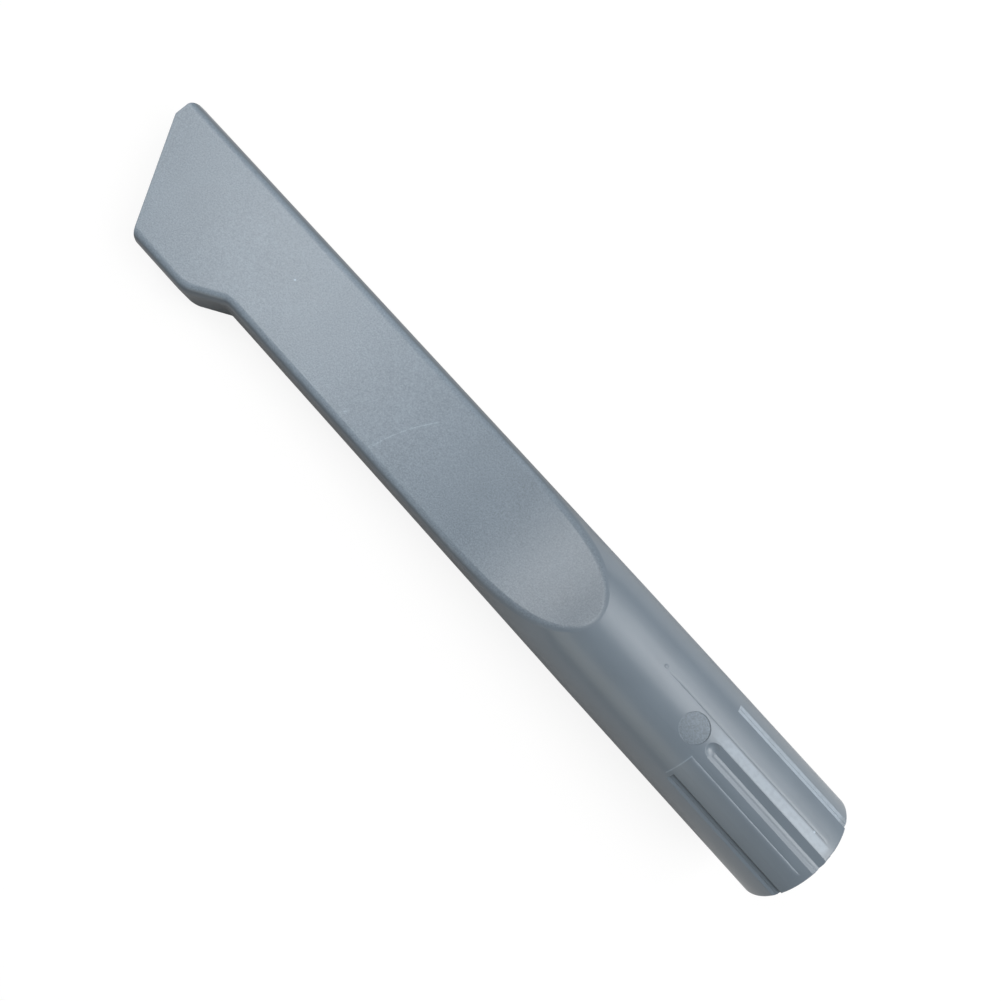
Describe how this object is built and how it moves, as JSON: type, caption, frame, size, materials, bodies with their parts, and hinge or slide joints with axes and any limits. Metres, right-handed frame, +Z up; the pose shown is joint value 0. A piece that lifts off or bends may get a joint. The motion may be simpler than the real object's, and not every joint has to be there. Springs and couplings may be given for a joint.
{
  "type": "vacuum crevice tool",
  "caption": "Flat tapering vacuum nozzle with a round push-on socket, a dished run-in to the blade, a heel and a slanted slot mouth, for cleaning narrow gaps.",
  "frame": {"origin": "under the middle of the tool's box, on the ground it lies on", "axes": "+X along the tool from the socket's mouth toward the slanted tip, +Y toward the side that the heel stands out on, +Z up; the tool lies on the lower edge of its tip and the end of its neck"},
  "size_m": [0.277, 0.0428, 0.0422],
  "materials": {
    "moulding": "fine spark-eroded grain, satin"
  },
  "bodies": {
    "root": {"crevice_tool": "moulding"}
  },
  "joints": []
}
